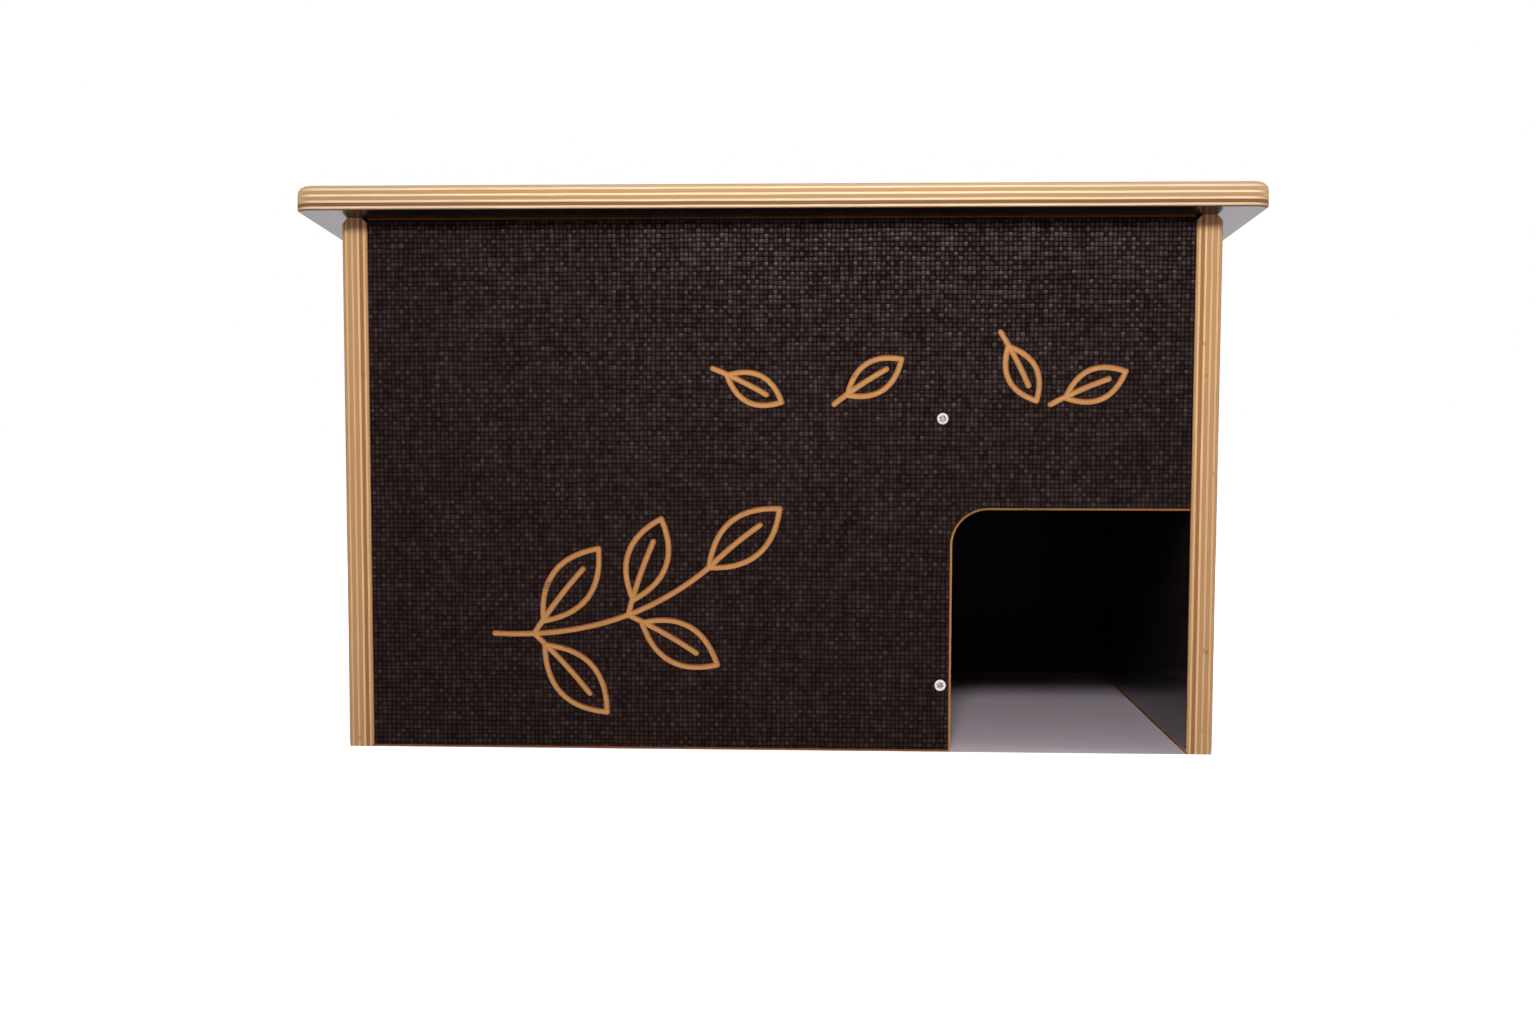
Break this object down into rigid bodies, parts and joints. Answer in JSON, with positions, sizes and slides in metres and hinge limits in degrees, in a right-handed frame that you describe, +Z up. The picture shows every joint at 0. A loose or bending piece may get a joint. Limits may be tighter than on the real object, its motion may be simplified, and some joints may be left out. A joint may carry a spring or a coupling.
{
  "type": "hedgehog house",
  "caption": "Bottomless hedgehog house of film-faced plywood with a round-cornered entrance, a labyrinth divider inside and a pent roof hinged at the back.",
  "frame": {"origin": "on the ground under the middle of the four walls", "axes": "+Z up, the front with the entrance faces -Y, +X to the right seen from the front"},
  "size_m": [0.53, 0.3706, 0.3156],
  "materials": {
    "film_board": "dark brown film-faced plywood, satin, with bare wood on its eased edges",
    "stainless_hinge": "brushed stainless steel",
    "stainless_screw": "bright stainless steel"
  },
  "bodies": {
    "house": {"front_panel": "film_board", "back_panel": "film_board", "left_side_panel": "film_board", "right_side_panel": "film_board", "divider_panel": "film_board", "divider_front_screws": "stainless_screw", "divider_back_screws": "stainless_screw", "left_front_screws": "stainless_screw", "left_back_screws": "stainless_screw", "right_front_screws": "stainless_screw", "right_back_screws": "stainless_screw", "left_hinge_wall_leaf": "stainless_hinge", "left_hinge_pin": "stainless_hinge", "left_hinge_wall_screws": "stainless_screw", "right_hinge_wall_leaf": "stainless_hinge", "right_hinge_pin": "stainless_hinge", "right_hinge_wall_screws": "stainless_screw"},
    "roof": {"roof_panel": "film_board", "left_hinge_roof_leaf": "stainless_hinge", "left_hinge_roof_screws": "stainless_screw", "right_hinge_roof_leaf": "stainless_hinge", "right_hinge_roof_screws": "stainless_screw"}
  },
  "joints": [
    {"name": "roof_hinge", "type": "hinge", "parent": "house", "child": "roof", "pos_m": [0, 0.16345, 0.27132], "axis": [-1, 0, 0], "range_deg": [0, 95]}
  ]
}
